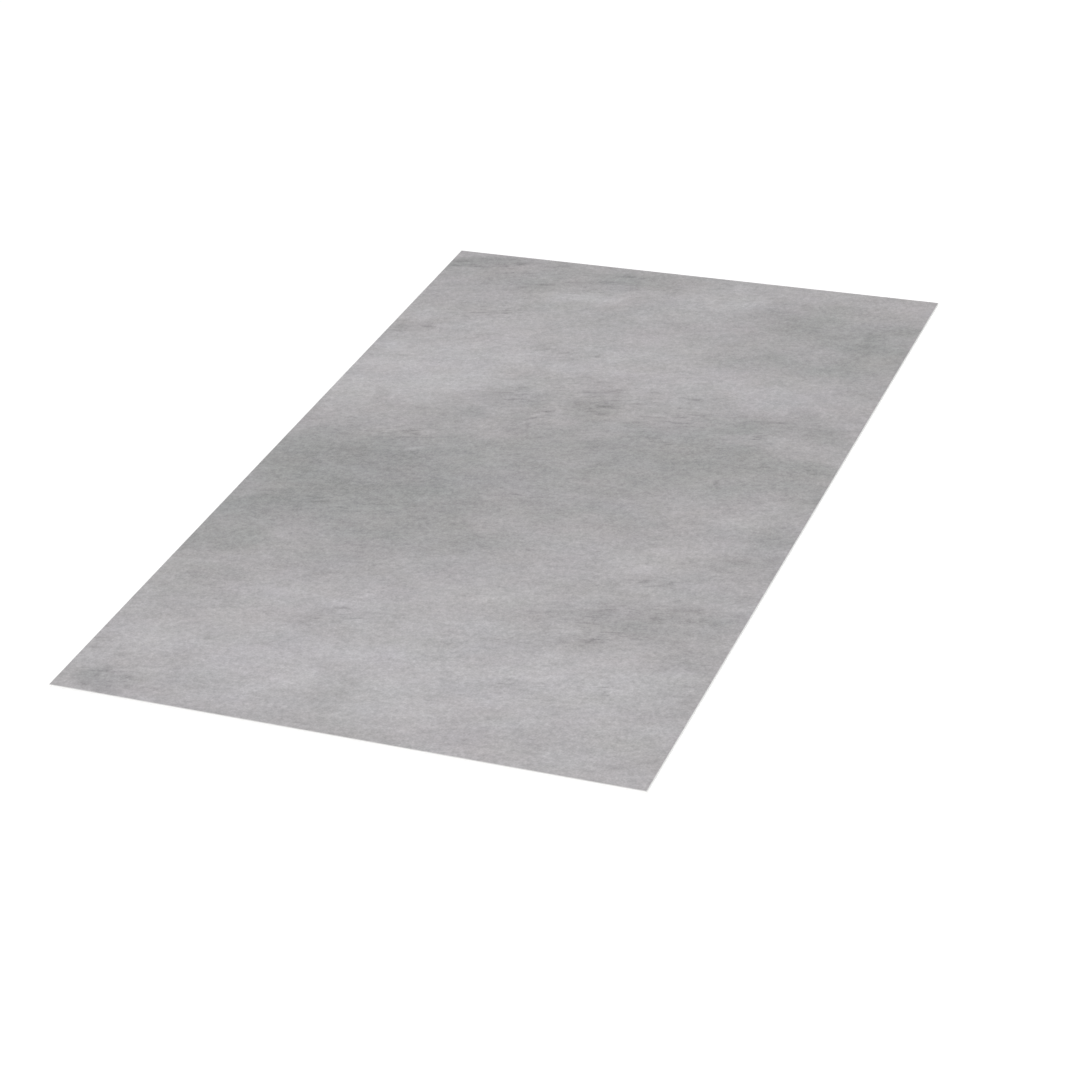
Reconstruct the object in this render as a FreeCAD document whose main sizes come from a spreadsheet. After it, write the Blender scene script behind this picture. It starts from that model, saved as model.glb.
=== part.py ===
import FreeCAD, Part
import os
import Sketcher

# One loose glue-down vinyl floor tile: a calendered sheet die-cut to a rectangle, lying wear face up.
# The origin is the middle of the glue face. X is the short side, Y the long side and Z is up.

# Driving dimensions, in millimetres
drivingSizes = [
    ("tile_width", "457.2", "short side, 18 inches"),
    ("tile_length", "762", "long side, 30 inches"),
    ("tile_thickness", "2.5", "glue face to wear face"),
    ("bevel_width", "0.5", "edge bevel, measured across the wear face"),
    ("bevel_depth", "0.4", "edge bevel, measured down the cut edge"),
]


def makeSizeSheet(doc):
    sheet = doc.addObject("Spreadsheet::Sheet", "sizes")
    for row, (alias, value, meaning) in enumerate(drivingSizes, start=1):
        sheet.set(f"A{row}", alias)
        sheet.set(f"B{row}", value)
        sheet.set(f"C{row}", meaning)
        sheet.setAlias(f"B{row}", alias)
    doc.recompute()


def originPlane(body, role):
    for feature in body.Origin.OriginFeatures:
        if feature.Role == role:
            return feature


# A rectangle centred on the sketch's origin, whose two sides are bound to cells of the sheet
def addCentredRectangle(sketch, widthCell, lengthCell):
    corners = [FreeCAD.Vector(x, y, 0) for x, y in ((-1, -1), (1, -1), (1, 1), (-1, 1))]
    for start, end in zip(corners, corners[1:] + corners[:1]):
        sketch.addGeometry(Part.LineSegment(start, end), False)
    near, right, far, left = range(4)
    for side, following in ((near, right), (right, far), (far, left), (left, near)):
        sketch.addConstraint(Sketcher.Constraint("Coincident", side, 2, following, 1))
    for side in (near, far):
        sketch.addConstraint(Sketcher.Constraint("Horizontal", side))
    for side in (right, left):
        sketch.addConstraint(Sketcher.Constraint("Vertical", side))
    sketch.addConstraint(Sketcher.Constraint("Symmetric", near, 1, far, 1, -1, 1))
    width = sketch.addConstraint(Sketcher.Constraint("DistanceX", near, 1, near, 2, 2.0))
    sketch.renameConstraint(width, "width")
    sketch.setExpression("Constraints.width", widthCell)
    length = sketch.addConstraint(Sketcher.Constraint("DistanceY", right, 1, right, 2, 2.0))
    sketch.renameConstraint(length, "length")
    sketch.setExpression("Constraints.length", lengthCell)


def makeVinylTile(doc):
    body = doc.addObject("PartDesign::Body", "VinylTile")
    body.Label = "vinyl_tile"
    body.Placement = FreeCAD.Placement()

    # The die-cut outline, drawn on the glue face
    outline = body.newObject("Sketcher::SketchObject", "TileOutline")
    outline.AttachmentSupport = [(originPlane(body, "XY_Plane"), "")]
    outline.MapMode = "FlatFace"
    addCentredRectangle(outline, "sizes.tile_width", "sizes.tile_length")

    # The sheet, from the glue face up to the wear face
    sheetStock = body.newObject("PartDesign::Pad", "SheetStock")
    sheetStock.Profile = outline
    sheetStock.setExpression("Length", "sizes.tile_thickness")
    doc.recompute()

    # A fine bevel runs round the wear face and is mitred at the four square corners
    faceHeights = [face.CenterOfGravity.z for face in sheetStock.Shape.Faces]
    wearFace = 1 + faceHeights.index(max(faceHeights))
    bevel = body.newObject("PartDesign::Chamfer", "EdgeBevel")
    bevel.Base = (sheetStock, [f"Face{wearFace}"])
    bevel.ChamferType = "Two distances"
    bevel.setExpression("Size", "sizes.bevel_depth")
    bevel.setExpression("Size2", "sizes.bevel_width")
    doc.recompute()
    return body


def checkDocument(doc):
    for item in doc.Objects:
        if "Invalid" in item.State or "Error" in item.State:
            raise RuntimeError(f"{item.Label} didn't recompute: {item.State}")


def exportSubParts(subParts):
    for subPart in subParts:
        if subPart.Shape.isNull() or not subPart.Shape.isValid():
            raise RuntimeError(f"{subPart.Label} has no valid shape")
    os.makedirs("parts", exist_ok=True)
    for subPart in subParts:
        subPart.Shape.exportStep(f"parts/{subPart.Label}.step")
        box = subPart.Shape.BoundBox
        print(subPart.Label, round(box.XLength, 3), round(box.YLength, 3), round(box.ZLength, 3))


doc = FreeCAD.newDocument("GlueDownVinylTile")
makeSizeSheet(doc)
vinylTile = makeVinylTile(doc)
checkDocument(doc)
exportSubParts([vinylTile])
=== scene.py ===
import bpy
import math
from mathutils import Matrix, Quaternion, Vector


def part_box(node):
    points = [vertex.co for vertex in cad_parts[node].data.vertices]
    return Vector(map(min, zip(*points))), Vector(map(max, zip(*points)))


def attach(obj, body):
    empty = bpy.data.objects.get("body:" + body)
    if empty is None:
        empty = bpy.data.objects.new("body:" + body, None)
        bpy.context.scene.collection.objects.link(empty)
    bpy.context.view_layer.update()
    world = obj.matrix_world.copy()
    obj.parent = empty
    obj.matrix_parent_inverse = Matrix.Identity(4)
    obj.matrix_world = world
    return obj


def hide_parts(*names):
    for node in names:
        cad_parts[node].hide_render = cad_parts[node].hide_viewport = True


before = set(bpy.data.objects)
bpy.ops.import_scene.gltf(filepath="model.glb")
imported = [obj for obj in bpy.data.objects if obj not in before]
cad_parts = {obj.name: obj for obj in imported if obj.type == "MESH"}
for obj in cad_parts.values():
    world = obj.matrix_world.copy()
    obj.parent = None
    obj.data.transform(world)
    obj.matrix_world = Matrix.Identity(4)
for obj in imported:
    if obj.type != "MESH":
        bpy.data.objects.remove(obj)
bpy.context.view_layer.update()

# The tile's real size, from the frame, in metres
tileLow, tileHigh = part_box("vinyl_tile")
tileWidth = tileHigh.x - tileLow.x
tileLength = tileHigh.y - tileLow.y
tileThickness = tileHigh.z
mm = 0.001
print(f"frame: tile {tileWidth / mm:.1f} x {tileLength / mm:.1f} x {tileThickness / mm:.2f} mm")

# The pressed sheet: what the mesh holds of its surface
tileSheet = {
    "columns": 222,             # vertices across the wear face
    "rows": 370,                # vertices along it
    "bevelWidth": 0.5 * mm,     # the solid's own bevel
    "bevelDepth": 0.4 * mm,
    "embossDepth": 0.11 * mm,   # deepest hollow of the trowelled relief
    "embossSize": 24 * mm,
    "embossStretch": 2.2,       # hollows are this much longer along the trowel's way
    "embossFade": 3 * mm,       # the relief runs out this far from the bevel
    "embossDetail": 3.0,
    "embossRoughness": 0.6,
    "embossRange": (0.3, 0.7),  # noise value of the level places, and of the deepest ones
    "cutWobble": 0.04 * mm,     # unevenness of the cut edge
    "cutWobbleSize": 9 * mm,
    # rings of vertices down the cut edge, as shares of its height
    "cutRings": (0.75, 0.45, 0.2),
    "arris": 0.12 * mm,         # rounding where the cut edge meets the glue face
    # its rings: height and setback, as shares of the arris
    "arrisRings": ((1.0, 0.0), (0.3, 0.3), (0.0, 1.0)),
    "weldDistance": 0.002 * mm,
    "sharpAngle": 25,           # degrees from which an edge is shaded sharp
    "seed": 7.0,
}

# The concrete print: tones are 8-bit levels, lengths are millimetres
concretePrint = {
    "baseTone": 171,
    "cloudContrast": 1.04,
    "cloudPlateau": 0.6,        # a cloud is even out to this share of its depth
    "strokeContrast": 1.65,
    "trowelTurn": 12,           # degrees that the streaks rise towards the right
    # how much longer the noise is along the trowel's way than across it
    "mottleStretch": 2.2,
    "grainStretch": 1.3,
    "dashStretch": 5.5,
    "tintStretch": 1.6,
    # how far places shift, so that edges wander: size of the noise, shift, seed
    "cloudShift": (90, 60, 1.0),
    "cloudFringe": (22, 16, 2.0),
    "dashPatchShift": (25, 20, 9.0),
    "strokeShift": (9, 5, 6.0),
    # layers of noise: size, detail, roughness, seed, and the levels that it swings the tone by
    "mottles": [(60, 1.0, 0.5, 3.0, 12), (20, 1.0, 0.5, 4.0, 18)],
    "brushing": (1.8, 2.0, 0.6, 12.0, 9),
    "grains": [(2.8, 1.0, 0.5, 10.0, 39), (1.1, 1.0, 0.5, 11.0, 43)],
    # noises without a fixed swing: size, detail, roughness, seed
    "fineMottle": (8, 1.0, 0.5, 5.0),
    "dashNoise": (3.2, 3.0, 0.65, 8.0),
    "tintNoise": (32, 3.0, 0.6, 13.0),
    # levels that the fine mottle swings the tone by: what a full dash patch adds, and what is everywhere
    "fineMottleSwing": (18, 15),
    "dashRange": (0.53, 0.66),  # noise values at which a dash begins and is full
    "dashTone": -42,
    "toneGamma": 2.2,           # turns a ratio of tones into a ratio of light
    # how far red, green and blue drift from one end of the tint's noise to the other
    "tintDrift": (0.064, -0.04, 0.064),
    # share across, share along, half width, half length, turn, tone
    "clouds": [
        # the wide dark band across the middle, and what it holds
        (0.32, 0.47, 280, 130, 4, -7),
        (0.14, 0.455, 120, 62, 4, -9),
        (0.22, 0.43, 190, 95, 4, -5),
        (0.76, 0.58, 150, 42, 3, -8),
        (0.66, 0.57, 190, 75, 3, -4),
        (0.92, 0.515, 95, 52, 0, -8),
        (0.60, 0.48, 110, 50, 12, -3),
        (0.20, 0.53, 120, 36, 4, -4),
        (0.38, 0.34, 95, 40, 15, -6),
        (0.14, 0.33, 150, 56, 6, -5),
        (0.02, 0.305, 60, 76, 0, -7),
        (0.36, 0.435, 40, 60, 0, -3),
        (0.11, 0.36, 36, 36, 0, -6),
        (0.53, 0.35, 44, 20, 35, -4),
        (0.72, 0.44, 36, 30, 40, -4),
        (0.29, 0.605, 26, 24, 0, -5),
        (0.75, 0.56, 80, 34, 25, -4),
        (0.98, 0.53, 40, 30, 0, -4),
        (0.985, 0.585, 36, 24, 0, -7),
        (0.88, 0.385, 46, 16, 20, -4),
        # smaller dark clouds behind it
        (0.60, 0.655, 210, 46, 0, -3),
        (0.52, 0.65, 38, 38, 0, -7),
        (0.35, 0.635, 46, 36, 30, -3),
        (0.44, 0.60, 40, 24, 0, -3),
        (0.74, 0.655, 50, 30, 15, -6),
        (0.88, 0.672, 60, 31, 0, -8),
        (0.985, 0.68, 44, 60, 0, -5),
        (0.04, 0.795, 30, 18, 8, -8),
        (0.40, 0.87, 34, 36, 0, -4),
        (0.34, 0.765, 60, 18, 6, -5),
        (0.11, 0.725, 36, 18, 0, -5),
        (0.56, 0.855, 26, 14, 0, -3),
        # the back corners
        (0.06, 0.975, 60, 16, 4, -9),
        (0.12, 0.985, 95, 24, 4, -3),
        (0.20, 0.921, 100, 20, 8, -6),
        (0.22, 0.963, 150, 32, 7, -7),
        (0.41, 0.975, 60, 18, 6, -7),
        (0.84, 0.915, 104, 52, 0, -8),
        (0.84, 0.85, 120, 52, 0, -7),
        (0.80, 0.80, 90, 24, 4, -7),
        (0.71, 0.90, 56, 26, 0, -6),
        (0.87, 0.89, 52, 28, -20, -5),
        (0.96, 0.84, 44, 84, 0, -6),
        # the front corners and the right side
        (0.85, 0.255, 90, 36, 6, -9),
        (0.66, 0.235, 50, 26, 0, -4),
        (0.985, 0.42, 34, 50, 0, -6),
        (0.99, 0.10, 30, 50, 0, -4),
        (0.07, 0.028, 44, 18, 0, -8),
        (0.47, 0.06, 40, 26, 0, -3),
        (0.96, 0.375, 50, 20, 0, -4),
        (0.94, 0.20, 70, 22, 0, -6),
        (0.34, 0.165, 42, 20, 0, -6),
        (0.29, 0.28, 50, 20, 12, -6),
        (0.44, 0.07, 26, 40, 0, -5),
        (0.12, 0.215, 46, 46, 30, -3),
        # pale clouds
        (0.08, 0.70, 80, 56, 8, 7),
        (0.02, 0.62, 42, 44, 0, 7),
        (0.20, 0.74, 130, 50, 6, 6),
        (0.22, 0.665, 60, 34, 25, 9),
        (0.55, 0.755, 190, 34, 0, 5),
        (0.50, 0.80, 70, 24, 4, 4),
        (0.83, 0.73, 44, 24, 6, 6),
        (0.33, 0.905, 50, 18, 12, 9),
        (0.25, 0.815, 120, 30, 8, 5),
        (0.01, 0.81, 34, 40, 0, 7),
        (0.84, 0.875, 34, 22, 30, 5),
        (0.60, 0.95, 60, 34, 30, 6),
        (0.45, 0.11, 230, 75, 3, 8),
        (0.83, 0.155, 80, 42, 6, 6),
        (0.10, 0.095, 46, 32, 0, 6),
        (0.0, 0.065, 30, 24, 0, 4),
        (0.33, 0.06, 60, 46, 0, 4),
        (0.55, 0.04, 60, 34, 0, 6),
        (0.93, 0.09, 60, 34, 0, 6),
        (0.87, 0.04, 46, 28, 20, 5),
        (0.26, 0.01, 44, 18, 0, 4),
        (0.66, 0.005, 44, 16, 0, 4),
        (0.20, 0.205, 46, 44, 0, 5),
        (0.35, 0.228, 70, 24, 12, 5),
        (0.22, 0.32, 56, 18, 8, 4),
        (0.56, 0.24, 70, 56, 40, 4),
        (0.765, 0.375, 46, 22, 35, 7),
        (0.48, 0.415, 50, 30, 0, 4),
        (0.10, 0.445, 100, 24, -6, 5),
        (0.83, 0.622, 34, 22, 0, 7),
        (0.655, 0.53, 26, 40, -10, 5),
        (0.925, 0.475, 42, 16, 40, 6),
    ],
    "dashEverywhere": 0.07,     # share of their full strength that the trowel dashes have all over
    # patches in which short dark trowel dashes show:
    # share across, share along, half width, half length, turn, strength
    "dashPatches": [
        (0.52, 0.675, 26, 34, 70, 0.3),
        (0.35, 0.65, 40, 26, 30, 0.5),
        (0.84, 0.27, 110, 24, 8, 0.4),
        (0.90, 0.225, 60, 12, 0, 0.3),
        (0.12, 0.965, 120, 26, 10, 0.4),
        (0.42, 0.965, 80, 20, 12, 0.45),
        (0.20, 0.855, 40, 14, 10, 0.3),
        (0.05, 0.80, 40, 16, 8, 0.3),
        (0.08, 0.03, 46, 20, 0, 0.3),
        (0.36, 0.185, 44, 18, 0, 0.6),
        (0.20, 0.55, 60, 26, 10, 0.5),
        (0.20, 0.39, 110, 16, 3, 0.5),
        (0.36, 0.775, 30, 14, 0, 0.5),
        (0.71, 0.60, 60, 14, 0, 0.5),
        (0.72, 0.125, 40, 12, 10, 0.5),
        (0.93, 0.58, 40, 16, 5, 0.5),
        (0.55, 0.68, 170, 70, 0, 0.25),
        (0.68, 0.655, 22, 26, 0, 0.4),
        (0.83, 0.635, 26, 18, 0, 0.5),
        (0.43, 0.63, 26, 20, 30, 0.5),
        (0.16, 0.86, 80, 44, 8, 0.35),
        (0.49, 0.45, 32, 14, 8, 0.5),
        (0.32, 0.385, 20, 14, 0, 0.4),
        (0.77, 0.225, 34, 26, 0, 0.6),
        (0.80, 0.33, 30, 22, 0, 0.4),
        (0.84, 0.135, 24, 16, 0, 0.5),
    ],
    # single strokes and specks: share across, share along, half width, half length, turn, tone
    "strokes": [
        # rows behind the middle
        (0.677, 0.7015, 11, 3.4, 4, -13),
        (0.672, 0.692, 10, 3.0, 4, -5),
        (0.597, 0.690, 13, 3.4, 20, -6),
        (0.58, 0.676, 7, 3.4, 0, -5),
        (0.502, 0.691, 22, 4.6, 14, -9),
        (0.53, 0.701, 15, 3.6, 14, -5),
        (0.487, 0.679, 12, 3.2, 4, -7),
        (0.525, 0.661, 15, 5.6, 4, -10),
        (0.53, 0.669, 14, 2.2, 6, -5),
        (0.53, 0.644, 15, 5.0, -6, -8),
        (0.476, 0.663, 15, 12, 0, -4),
        (0.553, 0.632, 10, 3.6, 10, -5),
        (0.465, 0.634, 9, 4.6, 0, -5),
        (0.685, 0.631, 3.4, 10, 26, -7),
        (0.605, 0.637, 11, 3.0, 20, -5),
        (0.84, 0.673, 24, 2.8, 7, -8),
        # slanting hatch left of the middle, and short marks before it
        (0.35, 0.677, 9, 5.5, 40, -8),
        (0.385, 0.652, 28, 2.8, 22, -5),
        (0.39, 0.668, 14, 6, 30, -5),
        (0.436, 0.633, 5, 9, -25, -6),
        (0.411, 0.614, 24, 2.8, 38, -6),
        (0.413, 0.60, 2.8, 7, 37, -7),
        (0.447, 0.606, 12, 3.4, 22, -7),
        (0.42, 0.625, 22, 2.6, 38, 5),
        (0.405, 0.602, 14, 2.4, 38, 5),
        (0.65, 0.591, 10, 3, 30, -5),
        (0.73, 0.585, 14, 6, 10, -5),
        (0.388, 0.583, 6, 8, 10, -5),
        (0.81, 0.532, 4, 10, 20, -10),
        (0.11, 0.55, 16, 2.8, 4, -7),
        (0.21, 0.552, 14, 2.8, 4, -7),
        (0.09, 0.566, 12, 2.8, 0, -6),
        (0.46, 0.447, 30, 2.8, 3, -5),
        # pits and rows at the right, before the middle
        (0.801, 0.329, 8, 6.5, 30, -9),
        (0.842, 0.332, 6, 4.6, 20, -8),
        (0.815, 0.303, 8, 6.5, 0, -6),
        (0.87, 0.302, 7, 4.4, 25, -7),
        (0.877, 0.286, 8, 7, 0, -7),
        (0.909, 0.290, 13, 7, 10, -9),
        (0.766, 0.267, 12, 9.5, 0, -8),
        (0.822, 0.268, 10, 8, 0, -6),
        (0.852, 0.266, 10, 5.5, 0, -6),
        (0.703, 0.266, 10, 6.5, 0, -5),
        (0.89, 0.273, 30, 9, 5, -4),
        (0.985, 0.293, 11, 6.5, 20, -8),
        (0.954, 0.274, 9, 4.6, 15, -6),
        (0.665, 0.247, 15, 3.2, 8, -6),
        (0.67, 0.234, 11, 8, 0, -4),
        (0.766, 0.215, 15, 3.2, -8, -6),
        (0.79, 0.222, 9, 8, 20, -3),
        (0.805, 0.230, 10, 3.2, 15, -6),
        (0.85, 0.234, 28, 7, -4, -4),
        (0.93, 0.223, 14, 3.2, -16, -6),
        (0.93, 0.386, 15, 8, -8, -6),
        (0.985, 0.398, 9, 12, 0, -6),
        (0.685, 0.193, 5, 3.6, 30, -6),
        (0.72, 0.13, 24, 2.8, 6, -7),
        # the back left corner
        (0.145, 0.981, 13, 5.5, 15, -8),
        (0.105, 0.972, 20, 5, 12, -6),
        (0.025, 0.973, 15, 5, 16, -6),
        (0.06, 0.963, 28, 5, 6, -4),
        (0.08, 0.985, 26, 4.6, 10, -5),
        (0.377, 0.979, 15, 4.2, 18, -7),
        (0.355, 0.957, 24, 5, 14, -7),
        (0.405, 0.947, 15, 6, 20, -6),
        (0.437, 0.951, 6, 3.2, 30, -8),
        (0.305, 0.951, 24, 2.8, 12, -6),
        (0.187, 0.921, 13, 3.2, 20, -8),
        (0.232, 0.934, 16, 4.0, 16, -10),
        (0.275, 0.9455, 12, 2.6, 22, -6),
        (0.30, 0.919, 15, 3.2, 8, -5),
        (0.225, 0.900, 14, 3.2, -4, -5),
        (0.172, 0.908, 8, 3.6, -30, -5),
        (0.108, 0.927, 8, 24, -10, -4),
        (0.495, 0.955, 13, 15, 20, -4),
        (0.575, 0.973, 15, 2.8, 16, -7),
        # fine marks before it
        (0.20, 0.8505, 12, 2.2, 12, -10),
        (0.14, 0.8425, 13, 2.2, 12, -7),
        (0.13, 0.831, 7, 2.8, -25, -6),
        (0.235, 0.838, 10, 2.4, 14, -7),
        (0.095, 0.836, 7, 2.8, 20, -5),
        (0.072, 0.794, 12, 2.8, 8, -9),
        (0.03, 0.788, 15, 7, 10, -4),
        (0.02, 0.776, 12, 2.8, 4, -6),
        (0.255, 0.794, 9, 2.2, 14, -7),
        (0.44, 0.773, 5.5, 4, 40, -8),
        (0.34, 0.775, 20, 2.8, 28, -5),
        (0.34, 0.878, 7, 2.2, 10, -6),
        # the front left corner and beside it
        (0.062, 0.028, 4, 8.5, 0, -10),
        (0.076, 0.0365, 10, 3.6, 8, -8),
        (0.051, 0.0105, 6.5, 4.4, 0, -8),
        (0.126, 0.018, 7, 4.4, 20, -7),
        (0.115, 0.032, 8, 3.4, 10, -6),
        (0.11, 0.007, 13, 3.8, 10, -5),
        (0.085, 0.004, 8, 3, 0, -5),
        (0.016, 0.0705, 5, 2.6, 0, -7),
        (0.058, 0.074, 9, 2.6, 10, -5),
        (0.073, 0.066, 10, 4, 10, -5),
        (0.175, 0.077, 5, 3.4, 0, -4),
        (0.18, 0.116, 9, 3.4, 10, -6),
        (0.027, 0.112, 6, 3.6, 30, -4),
        (0.355, 0.203, 10, 3.2, 0, -7),
        (0.315, 0.167, 10, 3.4, -12, -8),
        # pale ones
        (0.32, 0.907, 26, 5.0, 8, 5),
        (0.13, 0.957, 11, 3, 12, 6),
        (0.56, 0.695, 6, 20, 20, 4),
        (0.45, 0.635, 5, 16, -14, 5),
        (0.345, 0.585, 20, 5.0, 25, 4),
        (0.13, 0.54, 2.4, 14, -4, 5),
        (0.155, 0.535, 4, 14, -8, 5),
        (0.175, 0.545, 2.4, 12, -6, 5),
        (0.38, 0.228, 14, 5, 20, 5),
        (0.835, 0.15, 3, 16, 0, 4),
        (0.86, 0.14, 3, 20, 0, 4),
        (0.80, 0.13, 3, 18, -4, 3),
    ],
}


def addNode(tree, kind, **settings):
    made = tree.nodes.new(kind)
    for name, value in settings.items():
        setattr(made, name, value)
    return made


def feed(tree, socket, source):
    if isinstance(source, bpy.types.NodeSocket):
        tree.links.new(source, socket)
    else:
        socket.default_value = source


def calculate(tree, operation, first, second=0.0, third=0.0):
    made = addNode(tree, "ShaderNodeMath", operation=operation)
    for socket, source in zip(made.inputs, (first, second, third)):
        feed(tree, socket, source)
    return made.outputs[0]


def vectorMath(tree, operation, first, second=(0, 0, 0), third=(0, 0, 0)):
    made = addNode(tree, "ShaderNodeVectorMath", operation=operation)
    for socket, source in zip(made.inputs, (first, second, third)):
        feed(tree, socket, source)
    return made.outputs["Vector"]


def rescale(tree, value, fromLow, fromHigh, toLow, toHigh, curve="LINEAR"):
    made = addNode(tree, "ShaderNodeMapRange", interpolation_type=curve)
    for socket, source in zip(made.inputs, (value, fromLow, fromHigh, toLow, toHigh)):
        feed(tree, socket, source)
    return made.outputs["Result"]


# Coordinates that draw a noise out along the trowel's way
def alongTrowel(tree, vector, stretch):
    made = addNode(tree, "ShaderNodeMapping", vector_type="TEXTURE")
    feed(tree, made.inputs["Vector"], vector)
    made.inputs["Rotation"].default_value = (0, 0, math.radians(concretePrint["trowelTurn"]))
    made.inputs["Scale"].default_value = (stretch, 1, 1)
    return made.outputs["Vector"]


# Noise whose size is in millimetres
def noise(tree, vector, size, detail=2.0, roughness=0.5, seed=0.0, output="Fac"):
    made = addNode(tree, "ShaderNodeTexNoise", noise_dimensions="4D")
    feed(tree, made.inputs["Vector"], vector)
    made.inputs["W"].default_value = seed
    made.inputs["Scale"].default_value = 1.0 / (size * mm)
    made.inputs["Detail"].default_value = detail
    made.inputs["Roughness"].default_value = roughness
    return made.outputs[output]


# The tone, swung both ways by a noise whose middle is a half
def addTone(tree, tone, value, swing):
    return calculate(tree, "MULTIPLY_ADD", calculate(tree, "SUBTRACT", value, 0.5), swing, tone)


def addLayer(tree, tone, vector, layer):
    *look, swing = layer
    return addTone(tree, tone, noise(tree, vector, *look), swing)


# Linear light of one 8-bit sRGB level
def linear(level):
    share = level / 255
    return share / 12.92 if share <= 0.04045 else ((share + 0.055) / 1.055) ** 2.4


def paint(red, green, blue):
    return (linear(red), linear(green), linear(blue), 1.0)


# One soft patch of the print, 1 in its middle and 0 at its rim, laid by the gradient's own mapping
def patch(tree, vector, across, along, halfWidth, halfLength, turn):
    fall = addNode(tree, "ShaderNodeTexGradient", gradient_type="SPHERICAL")
    feed(tree, fall.inputs["Vector"], vector)
    laid = fall.texture_mapping
    laid.vector_type = "TEXTURE"
    laid.translation = (tileLow.x + across * tileWidth, tileLow.y + along * tileLength, 0)
    laid.rotation = (0, 0, math.radians(turn))
    laid.scale = (halfWidth * mm, halfLength * mm, 1)
    return fall.outputs["Fac"]


def addPatches(tree, vector, patches, start, contrast=1.0, plateau=1.0):
    total = start
    for across, along, halfWidth, halfLength, turn, strength in patches:
        fall = patch(tree, vector, across, along, halfWidth, halfLength, turn)
        shaped = rescale(tree, fall, 0.0, plateau, 0.0, strength * contrast, "SMOOTHSTEP")
        total = calculate(tree, "ADD", shaped, total)
    return total


def shiftedBy(tree, vector, size, amount, seed):
    wander = noise(tree, vector, size, seed=seed, output="Color")
    centred = vectorMath(tree, "SUBTRACT", wander, (0.5, 0.5, 0.5))
    return vectorMath(tree, "MULTIPLY_ADD", centred, (amount * mm, amount * mm, 0), vector)


# The print's broad tone, and the tone with its dashes and grain
def concreteTones(tree, place):
    streaky = alongTrowel(tree, place, concretePrint["mottleStretch"])
    lightlyStreaky = alongTrowel(tree, place, concretePrint["grainStretch"])
    veryStreaky = alongTrowel(tree, place, concretePrint["dashStretch"])

    # Large clouds, with edges that wander
    loose = shiftedBy(tree, place, *concretePrint["cloudShift"])
    ragged = shiftedBy(tree, loose, *concretePrint["cloudFringe"])
    broad = addPatches(tree, ragged, concretePrint["clouds"], concretePrint["baseTone"],
                       concretePrint["cloudContrast"], concretePrint["cloudPlateau"])

    # Mottling between the size of a hand and of a coin, drawn out along the trowel's way
    for layer in concretePrint["mottles"]:
        broad = addLayer(tree, broad, streaky, layer)

    # Finer mottling, which is stronger where the trowel has left its dashes
    nearby = shiftedBy(tree, place, *concretePrint["dashPatchShift"])
    dashZone = addPatches(tree, nearby, concretePrint["dashPatches"], concretePrint["dashEverywhere"])
    swing = calculate(tree, "MULTIPLY_ADD", dashZone, *concretePrint["fineMottleSwing"])
    tone = addTone(tree, broad, noise(tree, streaky, *concretePrint["fineMottle"]), swing)

    # Short dark dashes, mostly in those patches, and single strokes
    closely = shiftedBy(tree, place, *concretePrint["strokeShift"])
    dashNoise = noise(tree, veryStreaky, *concretePrint["dashNoise"])
    dashes = rescale(tree, dashNoise, *concretePrint["dashRange"], 0.0, 1.0, "SMOOTHSTEP")
    shown = calculate(tree, "MULTIPLY", dashes, dashZone)
    tone = calculate(tree, "MULTIPLY_ADD", shown, concretePrint["dashTone"], tone)
    tone = addPatches(tree, closely, concretePrint["strokes"], tone, concretePrint["strokeContrast"])

    # Fine grain, with a faint brushing all over
    tone = addLayer(tree, tone, veryStreaky, concretePrint["brushing"])
    for layer in concretePrint["grains"]:
        tone = addLayer(tree, tone, lightlyStreaky, layer)
    return broad, tone


# Dark clouds of the print are neutral grey, and pale ones lean to lavender
toneColours = [(150, (150, 150, 150)), (158, (158.6, 157.7, 158.2)), (165, (166.5, 164.1, 165.4)),
               (172, (173.3, 170.8, 172.4)), (185, (185.8, 183.6, 186))]


def toneToColour(tree, tone):
    lowest, highest = toneColours[0][0], toneColours[-1][0]
    ramp = addNode(tree, "ShaderNodeValToRGB")
    stops = ramp.color_ramp.elements
    for number, (level, colour) in enumerate(toneColours):
        position = (level - lowest) / (highest - lowest)
        stop = stops[number] if number < len(stops) else stops.new(position)
        stop.position = position
        stop.color = paint(*colour)
    feed(tree, ramp.inputs["Fac"], rescale(tree, tone, lowest, highest, 0.0, 1.0))
    return ramp.outputs["Color"]


# The tint follows the broad clouds, the grain only darkens or lightens it, and it drifts a little
# between green and lavender by itself
def printColour(tree, place):
    broad, tone = concreteTones(tree, place)
    lowest, highest = toneColours[0][0], toneColours[-1][0]
    held = calculate(tree, "MINIMUM", calculate(tree, "MAXIMUM", broad, lowest), highest)
    shade = calculate(tree, "POWER", calculate(tree, "DIVIDE", tone, held), concretePrint["toneGamma"])
    shaded = vectorMath(tree, "MULTIPLY", toneToColour(tree, held), shade)
    tintStreaky = alongTrowel(tree, place, concretePrint["tintStretch"])
    wander = noise(tree, tintStreaky, *concretePrint["tintNoise"], "Color")
    drift = vectorMath(tree, "SUBTRACT", wander, (0.5, 0.5, 0.5))
    hue = vectorMath(tree, "MULTIPLY_ADD", drift, concretePrint["tintDrift"], (1, 1, 1))
    return vectorMath(tree, "MULTIPLY", shaded, hue)


def mixColours(tree, share, first, second):
    made = addNode(tree, "ShaderNodeMix", data_type="RGBA")
    feed(tree, made.inputs["Factor"], share)
    feed(tree, made.inputs["A"], first)
    feed(tree, made.inputs["B"], second)
    return made.outputs["Result"]


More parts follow.
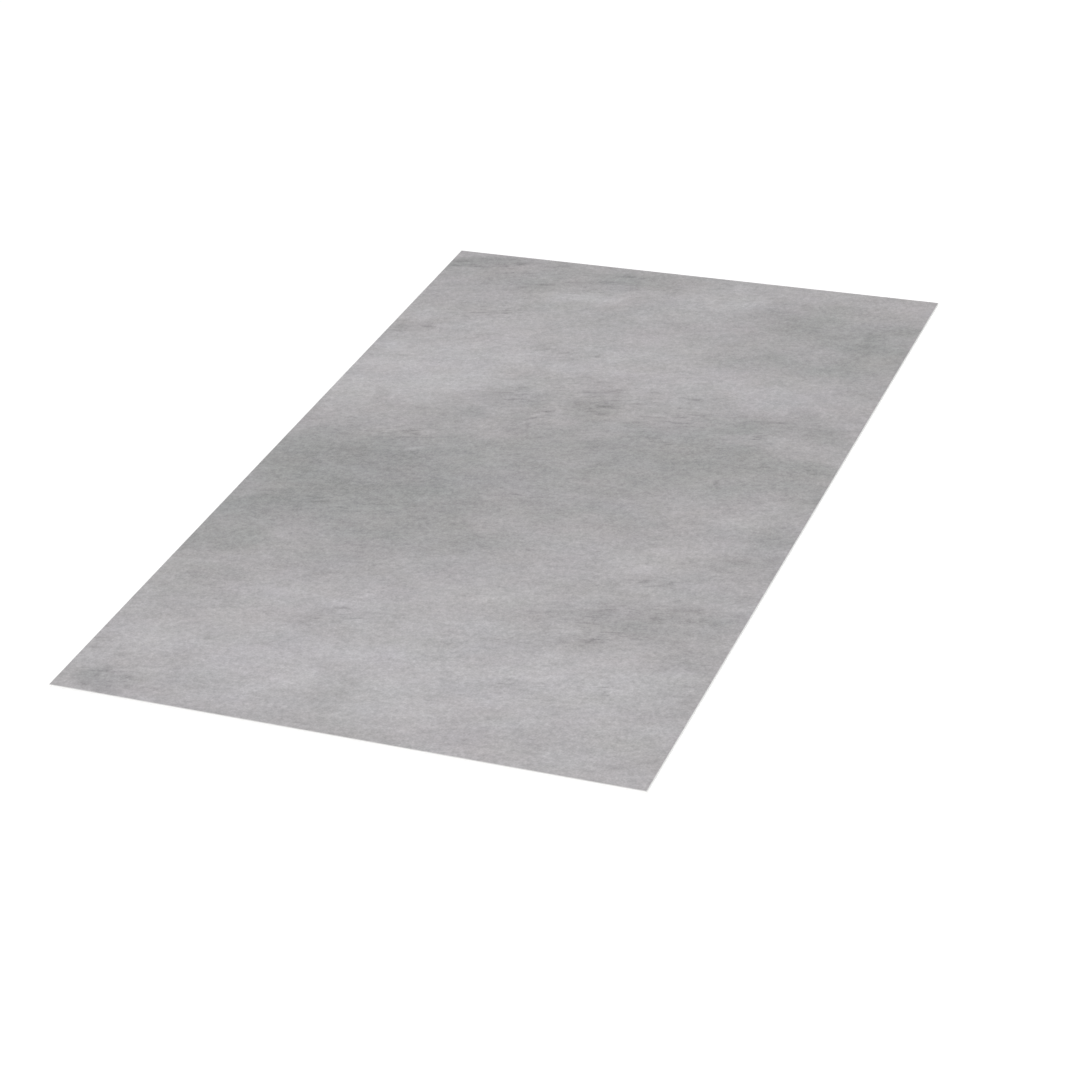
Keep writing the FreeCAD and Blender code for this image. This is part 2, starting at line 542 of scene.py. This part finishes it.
# How far a point lies inside a rectangle round the origin
def insideRectangle(tree, axes, width, length):
    nearness = []
    for axis, size in (("X", width), ("Y", length)):
        reach = calculate(tree, "ABSOLUTE", axes.outputs[axis])
        nearness.append(calculate(tree, "SUBTRACT", calculate(tree, "MULTIPLY", size, 0.5), reach))
    return calculate(tree, "MINIMUM", *nearness)


# What shows where the sheet is cut, and on the face that takes the glue
cutAndGlue = {
    "bevel": paint(213, 212.5, 211.5),
    "bevelFull": 0.6,           # outer share of the bevel that has all of its own colour
    "cutPale": paint(251, 250.5, 249.5),
    "cutDull": paint(244, 243.5, 242),
    "cutStart": 1.02,           # the cut's colour starts this many bevel depths down
    "gluePale": paint(190, 189, 186),
    "glueDull": paint(176, 175, 173),
    "glueStart": 0.1,           # the glue face's colour starts at this share of the arris's height
    # clouds in both: size in millimetres, detail, roughness, seed
    "cutCloud": (3, 2.0, 0.6, 20.0),
    "glueCloud": (30, 4.0, 0.6, 23.0),
    "linenPitch": 1.3 * mm,     # one thread of the linen that is pressed into the glue face
    "linenDepth": 0.06 * mm,
}

# The satin coat over the print
satinCoat = {
    # noises: size in millimetres, detail, roughness, seed
    "gloss": (14, 3.0, 0.6, 21.0),
    "grain": (1.6, 3.0, 0.6, 22.0),
    "glossRange": (0.3, 0.7),   # noise values between which the coat's roughness varies
    "roughness": (0.44, 0.58),
    "cutRoughness": 0.8,
    "specular": 0.35,
    "grainStrength": 0.5,
    "grainDepth": 0.05 * mm,
}


def linenWeave(tree, axes):
    threads = []
    for axis in ("X", "Y"):
        turns = calculate(tree, "MULTIPLY", axes.outputs[axis], 2 * math.pi / cutAndGlue["linenPitch"])
        threads.append(calculate(tree, "SINE", turns))
    return calculate(tree, "MULTIPLY", *threads)


def makeVinylMaterial():
    material = bpy.data.materials.new("concreteLookVinyl")
    material.use_nodes = True
    tree = material.node_tree
    shader = tree.nodes["Principled BSDF"]
    place = addNode(tree, "ShaderNodeTexCoord").outputs["Object"]
    axes = addNode(tree, "ShaderNodeSeparateXYZ")
    feed(tree, axes.inputs[0], place)
    height = axes.outputs["Z"]

    # Print on top, the clear layer's pale cut on the bevel, filled vinyl on the cut edge
    bevelWidth, bevelDepth = tileSheet["bevelWidth"], tileSheet["bevelDepth"]
    fromEdge = insideRectangle(tree, axes, tileWidth, tileLength)
    onBevel = rescale(tree, fromEdge, cutAndGlue["bevelFull"] * bevelWidth, bevelWidth, 1.0, 0.0)
    colour = mixColours(tree, onBevel, printColour(tree, place), cutAndGlue["bevel"])
    cutCloud = noise(tree, place, *cutAndGlue["cutCloud"])
    cutColour = mixColours(tree, cutCloud, cutAndGlue["cutDull"], cutAndGlue["cutPale"])
    onCut = calculate(tree, "LESS_THAN", height, tileThickness - cutAndGlue["cutStart"] * bevelDepth)
    colour = mixColours(tree, onCut, colour, cutColour)
    glueCloud = noise(tree, place, *cutAndGlue["glueCloud"])
    glueColour = mixColours(tree, glueCloud, cutAndGlue["glueDull"], cutAndGlue["gluePale"])
    onGlueFace = calculate(tree, "LESS_THAN", height, cutAndGlue["glueStart"] * tileSheet["arris"])
    colour = mixColours(tree, onGlueFace, colour, glueColour)
    feed(tree, shader.inputs["Base Color"], colour)

    # Satin coat whose gloss varies a little, and matt below it
    gloss = noise(tree, place, *satinCoat["gloss"])
    coat = rescale(tree, gloss, *satinCoat["glossRange"], *satinCoat["roughness"])
    feed(tree, shader.inputs["Roughness"], rescale(tree, onCut, 0.0, 1.0, coat, satinCoat["cutRoughness"]))
    shader.inputs["Specular IOR Level"].default_value = satinCoat["specular"]

    # Fine grain in the surface, and linen pressed into the glue face
    grain = addNode(tree, "ShaderNodeBump")
    grain.inputs["Strength"].default_value = satinCoat["grainStrength"]
    grain.inputs["Distance"].default_value = satinCoat["grainDepth"]
    feed(tree, grain.inputs["Height"], noise(tree, place, *satinCoat["grain"]))
    linen = addNode(tree, "ShaderNodeBump")
    linen.inputs["Distance"].default_value = cutAndGlue["linenDepth"]
    feed(tree, linen.inputs["Height"], calculate(tree, "MULTIPLY", linenWeave(tree, axes), onGlueFace))
    feed(tree, linen.inputs["Normal"], grain.outputs["Normal"])
    feed(tree, shader.inputs["Normal"], linen.outputs["Normal"])
    return material


def addInput(tree, name, kind="NodeSocketFloat"):
    return tree.interface.new_socket(name, in_out="INPUT", socket_type=kind)


# A ring of faces round the mesh: its selected border edges are extruded and set to a place
def borderRing(tree, mesh, selection, place, offset):
    extruded = addNode(tree, "GeometryNodeExtrudeMesh", mode="EDGES")
    feed(tree, extruded.inputs["Mesh"], mesh)
    feed(tree, extruded.inputs["Selection"], selection)
    extruded.inputs["Offset Scale"].default_value = 0.0
    moved = addNode(tree, "GeometryNodeSetPosition")
    feed(tree, moved.inputs["Geometry"], extruded.outputs["Mesh"])
    feed(tree, moved.inputs["Selection"], extruded.outputs["Top"])
    feed(tree, moved.inputs["Position"], place)
    feed(tree, moved.inputs["Offset"], offset)
    return moved.outputs["Geometry"], extruded.outputs["Top"]


# The sheet as a Geometry Nodes tree: an embossed face, its bevel, the cut edge and the glue face
def buildSheetTree(material):
    tree = bpy.data.node_groups.new("pressedSheet", "GeometryNodeTree")
    sizes = {"Width": tileWidth, "Length": tileLength, "Thickness": tileThickness,
             "Bevel Width": tileSheet["bevelWidth"], "Bevel Depth": tileSheet["bevelDepth"],
             "Emboss Depth": tileSheet["embossDepth"], "Emboss Size": tileSheet["embossSize"],
             "Emboss Fade": tileSheet["embossFade"], "Cut Wobble": tileSheet["cutWobble"],
             "Arris": tileSheet["arris"], "Seed": tileSheet["seed"]}
    counts = {"Columns": tileSheet["columns"], "Rows": tileSheet["rows"]}
    identifiers = {name: addInput(tree, name).identifier for name in sizes}
    identifiers.update({name: addInput(tree, name, "NodeSocketInt").identifier for name in counts})
    tree.interface.new_socket("Geometry", in_out="OUTPUT", socket_type="NodeSocketGeometry")
    given = addNode(tree, "NodeGroupInput").outputs
    width, length, thickness = given["Width"], given["Length"], given["Thickness"]

    # The wear face inside the bevel
    innerWidth = calculate(tree, "MULTIPLY_ADD", given["Bevel Width"], -2.0, width)
    innerLength = calculate(tree, "MULTIPLY_ADD", given["Bevel Width"], -2.0, length)
    grid = addNode(tree, "GeometryNodeMeshGrid")
    for name, source in (("Size X", innerWidth), ("Size Y", innerLength),
                         ("Vertices X", given["Columns"]), ("Vertices Y", given["Rows"])):
        feed(tree, grid.inputs[name], source)

    # Trowelled relief, pressed down from the wear plane and running out at the bevel
    position = addNode(tree, "GeometryNodeInputPosition").outputs[0]
    parts = addNode(tree, "ShaderNodeSeparateXYZ")
    feed(tree, parts.inputs[0], position)
    fromRim = insideRectangle(tree, parts, innerWidth, innerLength)
    fade = rescale(tree, fromRim, 0.0, given["Emboss Fade"], 0.0, 1.0, "SMOOTHSTEP")
    turned = addNode(tree, "ShaderNodeVectorRotate", rotation_type="Z_AXIS", invert=True)
    feed(tree, turned.inputs["Vector"], position)
    turned.inputs["Angle"].default_value = math.radians(concretePrint["trowelTurn"])
    drawn = vectorMath(tree, "DIVIDE", turned.outputs["Vector"], (tileSheet["embossStretch"], 1, 1))
    hollows = addNode(tree, "ShaderNodeTexNoise", noise_dimensions="4D")
    feed(tree, hollows.inputs["Vector"], drawn)
    feed(tree, hollows.inputs["W"], given["Seed"])
    feed(tree, hollows.inputs["Scale"], calculate(tree, "DIVIDE", 1.0, given["Emboss Size"]))
    hollows.inputs["Detail"].default_value = tileSheet["embossDetail"]
    hollows.inputs["Roughness"].default_value = tileSheet["embossRoughness"]
    pressed = rescale(tree, hollows.outputs["Fac"], *tileSheet["embossRange"], 0.0, 1.0)
    depth = calculate(tree, "MULTIPLY", pressed, fade)
    down = calculate(tree, "MULTIPLY", calculate(tree, "MULTIPLY", depth, given["Emboss Depth"]), -1.0)
    lift = addNode(tree, "ShaderNodeCombineXYZ")
    feed(tree, lift.inputs["Z"], calculate(tree, "ADD", thickness, down))
    face = addNode(tree, "GeometryNodeSetPosition")
    feed(tree, face.inputs["Geometry"], grid.outputs["Mesh"])
    feed(tree, face.inputs["Offset"], lift.outputs[0])

    # The bevel: the rim, where an edge has one face only, moves out to the full size and down
    neighbours = addNode(tree, "GeometryNodeInputMeshEdgeNeighbors").outputs["Face Count"]
    compare = addNode(tree, "FunctionNodeCompare", data_type="INT", operation="EQUAL")
    wholeNumbers = compare.inputs[2:4]
    feed(tree, wholeNumbers[0], neighbours)
    wholeNumbers[1].default_value = 1
    growth = addNode(tree, "ShaderNodeCombineXYZ")
    feed(tree, growth.inputs["X"], calculate(tree, "DIVIDE", width, innerWidth))
    feed(tree, growth.inputs["Y"], calculate(tree, "DIVIDE", length, innerLength))
    bevelHeight = addNode(tree, "ShaderNodeCombineXYZ")
    feed(tree, bevelHeight.inputs["Z"], calculate(tree, "SUBTRACT", thickness, given["Bevel Depth"]))
    rimPlace = vectorMath(tree, "MULTIPLY_ADD", position, growth.outputs[0], bevelHeight.outputs[0])
    mesh, ring = borderRing(tree, face.outputs["Geometry"], compare.outputs["Result"], rimPlace, (0, 0, 0))

    # The cut edge in rings, each a share of its height, slightly uneven
    flat = vectorMath(tree, "MULTIPLY", position, (1, 1, 0))
    inward = vectorMath(tree, "NORMALIZE", flat)
    for number, share in enumerate(tileSheet["cutRings"]):
        height = addNode(tree, "ShaderNodeCombineXYZ")
        cut = calculate(tree, "SUBTRACT", thickness, given["Bevel Depth"])
        feed(tree, height.inputs["Z"], calculate(tree, "MULTIPLY", cut, share))
        rough = addNode(tree, "ShaderNodeTexNoise", noise_dimensions="4D")
        feed(tree, rough.inputs["W"], float(number))
        rough.inputs["Scale"].default_value = 1 / tileSheet["cutWobbleSize"]
        wobble = calculate(tree, "MULTIPLY", rough.outputs["Fac"], given["Cut Wobble"])
        step = vectorMath(tree, "SCALE", inward)
        feed(tree, step.node.inputs["Scale"], calculate(tree, "MULTIPLY", wobble, -1.0))
        ringPlace = vectorMath(tree, "ADD", flat, height.outputs[0])
        mesh, ring = borderRing(tree, mesh, ring, ringPlace, step)

    # The arris under it, and the glue face as one flat face
    for height, setback in tileSheet["arrisRings"]:
        shrink = addNode(tree, "ShaderNodeCombineXYZ")
        for axis, size in (("X", width), ("Y", length)):
            cutBack = calculate(tree, "MULTIPLY", given["Arris"], 2.0 * setback)
            narrowed = calculate(tree, "SUBTRACT", size, cutBack)
            feed(tree, shrink.inputs[axis], calculate(tree, "DIVIDE", narrowed, size))
        level = addNode(tree, "ShaderNodeCombineXYZ")
        feed(tree, level.inputs["Z"], calculate(tree, "MULTIPLY", given["Arris"], height))
        ringPlace = vectorMath(tree, "MULTIPLY_ADD", flat, shrink.outputs[0], level.outputs[0])
        mesh, ring = borderRing(tree, mesh, ring, ringPlace, (0, 0, 0))
    outline = addNode(tree, "GeometryNodeMeshToCurve")
    feed(tree, outline.inputs["Mesh"], mesh)
    feed(tree, outline.inputs["Selection"], ring)
    back = addNode(tree, "GeometryNodeFillCurve", mode="NGONS")
    feed(tree, back.inputs["Curve"], outline.outputs["Curve"])
    faceDown = addNode(tree, "GeometryNodeFlipFaces")
    feed(tree, faceDown.inputs["Mesh"], back.outputs["Mesh"])
    whole = addNode(tree, "GeometryNodeJoinGeometry")
    feed(tree, whole.inputs["Geometry"], faceDown.outputs["Mesh"])
    feed(tree, whole.inputs["Geometry"], mesh)
    welded = addNode(tree, "GeometryNodeMergeByDistance")
    feed(tree, welded.inputs["Geometry"], whole.outputs["Geometry"])
    welded.inputs["Distance"].default_value = tileSheet["weldDistance"]

    # Smooth faces, with the bevel's and the cut edge's arrises kept sharp
    smooth = addNode(tree, "GeometryNodeSetShadeSmooth", domain="FACE")
    feed(tree, smooth.inputs["Geometry"], welded.outputs["Geometry"])
    bend = addNode(tree, "GeometryNodeInputMeshEdgeAngle").outputs["Unsigned Angle"]
    crisp = addNode(tree, "GeometryNodeSetShadeSmooth", domain="EDGE")
    feed(tree, crisp.inputs["Geometry"], smooth.outputs["Geometry"])
    flowing = calculate(tree, "LESS_THAN", bend, math.radians(tileSheet["sharpAngle"]))
    feed(tree, crisp.inputs["Shade Smooth"], flowing)
    real = addNode(tree, "GeometryNodeRealizeInstances")
    feed(tree, real.inputs["Geometry"], crisp.outputs["Geometry"])
    coated = addNode(tree, "GeometryNodeSetMaterial")
    feed(tree, coated.inputs["Geometry"], real.outputs["Geometry"])
    coated.inputs["Material"].default_value = material
    feed(tree, addNode(tree, "NodeGroupOutput").inputs["Geometry"], coated.outputs["Geometry"])
    values = {identifiers[name]: value for name, value in {**sizes, **counts}.items()}
    return tree, values


def makeTile():
    material = makeVinylMaterial()
    tree, values = buildSheetTree(material)
    tile = bpy.data.objects.new("pressed_vinyl_tile", bpy.data.meshes.new("seed"))
    bpy.context.scene.collection.objects.link(tile)
    sheet = tile.modifiers.new("pressedSheet", "NODES")
    sheet.node_group = tree
    for identifier, value in values.items():
        sheet[identifier] = value
    bpy.context.view_layer.update()
    evaluated = tile.evaluated_get(bpy.context.evaluated_depsgraph_get())
    mesh = bpy.data.meshes.new_from_object(evaluated)
    tile.modifiers.remove(sheet)
    tile.data = mesh
    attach(tile, "root")
    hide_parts("vinyl_tile")
    print(f"tile: {len(mesh.vertices)} vertices, {sum(len(f.vertices) - 2 for f in mesh.polygons)} triangles")


# The plain floor, which is white to the camera and keeps the tile's shadow, in metres
floorAndLight = {
    "floorSize": 60.0,
    "floorAlbedo": 0.80,
    "floorLift": 0.36,          # added for camera and mirror rays only, so that the open floor is white
    "skyLight": 0.50,
    "skySeen": 1.0,             # the sky's strength for camera and mirror rays
    # place, size and power of the two lamps, which stand far off so that the light is even
    "keyLamp": ((3.3, -5.7, 4.6), 4.8, 400),
    "topLamp": ((1.2, 1.6, 8.0), 6.0, 97),
}


# 1 for a ray that shows the surroundings, 0 for one that only lights
def backgroundRay(tree):
    rays = addNode(tree, "ShaderNodeLightPath").outputs
    direct = calculate(tree, "MAXIMUM", rays["Is Camera Ray"], rays["Is Glossy Ray"])
    return calculate(tree, "MAXIMUM", direct, rays["Is Transmission Ray"])


def makeFloor():
    half = floorAndLight["floorSize"] / 2
    mesh = bpy.data.meshes.new("floor")
    corners = [(-half, -half, 0), (half, -half, 0), (half, half, 0), (-half, half, 0)]
    mesh.from_pydata(corners, [], [(0, 1, 2, 3)])
    floor = bpy.data.objects.new("floor", mesh)
    bpy.context.scene.collection.objects.link(floor)
    material = bpy.data.materials.new("paleFloor")
    material.use_nodes = True
    tree = material.node_tree
    tree.nodes.remove(tree.nodes["Principled BSDF"])
    matt = addNode(tree, "ShaderNodeBsdfDiffuse")
    matt.inputs["Color"].default_value = (*[floorAndLight["floorAlbedo"]] * 3, 1)
    lift = addNode(tree, "ShaderNodeEmission")
    strength = calculate(tree, "MULTIPLY", backgroundRay(tree), floorAndLight["floorLift"])
    feed(tree, lift.inputs["Strength"], strength)
    both = addNode(tree, "ShaderNodeAddShader")
    feed(tree, both.inputs[0], matt.outputs[0])
    feed(tree, both.inputs[1], lift.outputs[0])
    feed(tree, tree.nodes["Material Output"].inputs["Surface"], both.outputs[0])
    mesh.materials.append(material)


def makeWorld():
    world = bpy.data.worlds.new("softStudio")
    world.use_nodes = True
    bpy.context.scene.world = world
    tree = world.node_tree
    seen = backgroundRay(tree)
    strength = rescale(tree, seen, 0.0, 1.0, floorAndLight["skyLight"], floorAndLight["skySeen"])
    background = tree.nodes["Background"]
    background.inputs["Color"].default_value = (1, 1, 1, 1)
    feed(tree, background.inputs["Strength"], strength)


def makeLamp(name, place, size, power):
    lamp = bpy.data.lights.new(name, "AREA")
    lamp.shape = "SQUARE"
    lamp.size = size
    lamp.energy = power
    holder = bpy.data.objects.new(name, lamp)
    bpy.context.scene.collection.objects.link(holder)
    holder.location = place
    holder.rotation_euler = (-Vector(place)).to_track_quat("-Z", "Y").to_euler()


# The camera, set to the photograph's viewpoint
cameraShot = {
    "place": (0.7749, -1.7706, 1.0797),
    "aim": (0.0377, -0.0917, 0.0),
    "roll": -4.139,
    "lens": 92.21,
    "sensor": 36.0,
}


def makeCamera():
    camera = bpy.data.cameras.new("photoCamera")
    camera.lens = cameraShot["lens"]
    camera.sensor_width = cameraShot["sensor"]
    holder = bpy.data.objects.new("photoCamera", camera)
    bpy.context.scene.collection.objects.link(holder)
    place, aim = Vector(cameraShot["place"]), Vector(cameraShot["aim"])
    holder.location = place
    level = (aim - place).to_track_quat("-Z", "Y")
    holder.rotation_mode = "QUATERNION"
    holder.rotation_quaternion = level @ Quaternion((0, 0, 1), math.radians(cameraShot["roll"]))
    bpy.context.scene.camera = holder


makeTile()
makeFloor()
makeWorld()
for lampName in ("keyLamp", "topLamp"):
    makeLamp(lampName, *floorAndLight[lampName])
makeCamera()
bpy.context.scene.view_settings.view_transform = "Standard"
print("floor, light and camera set")
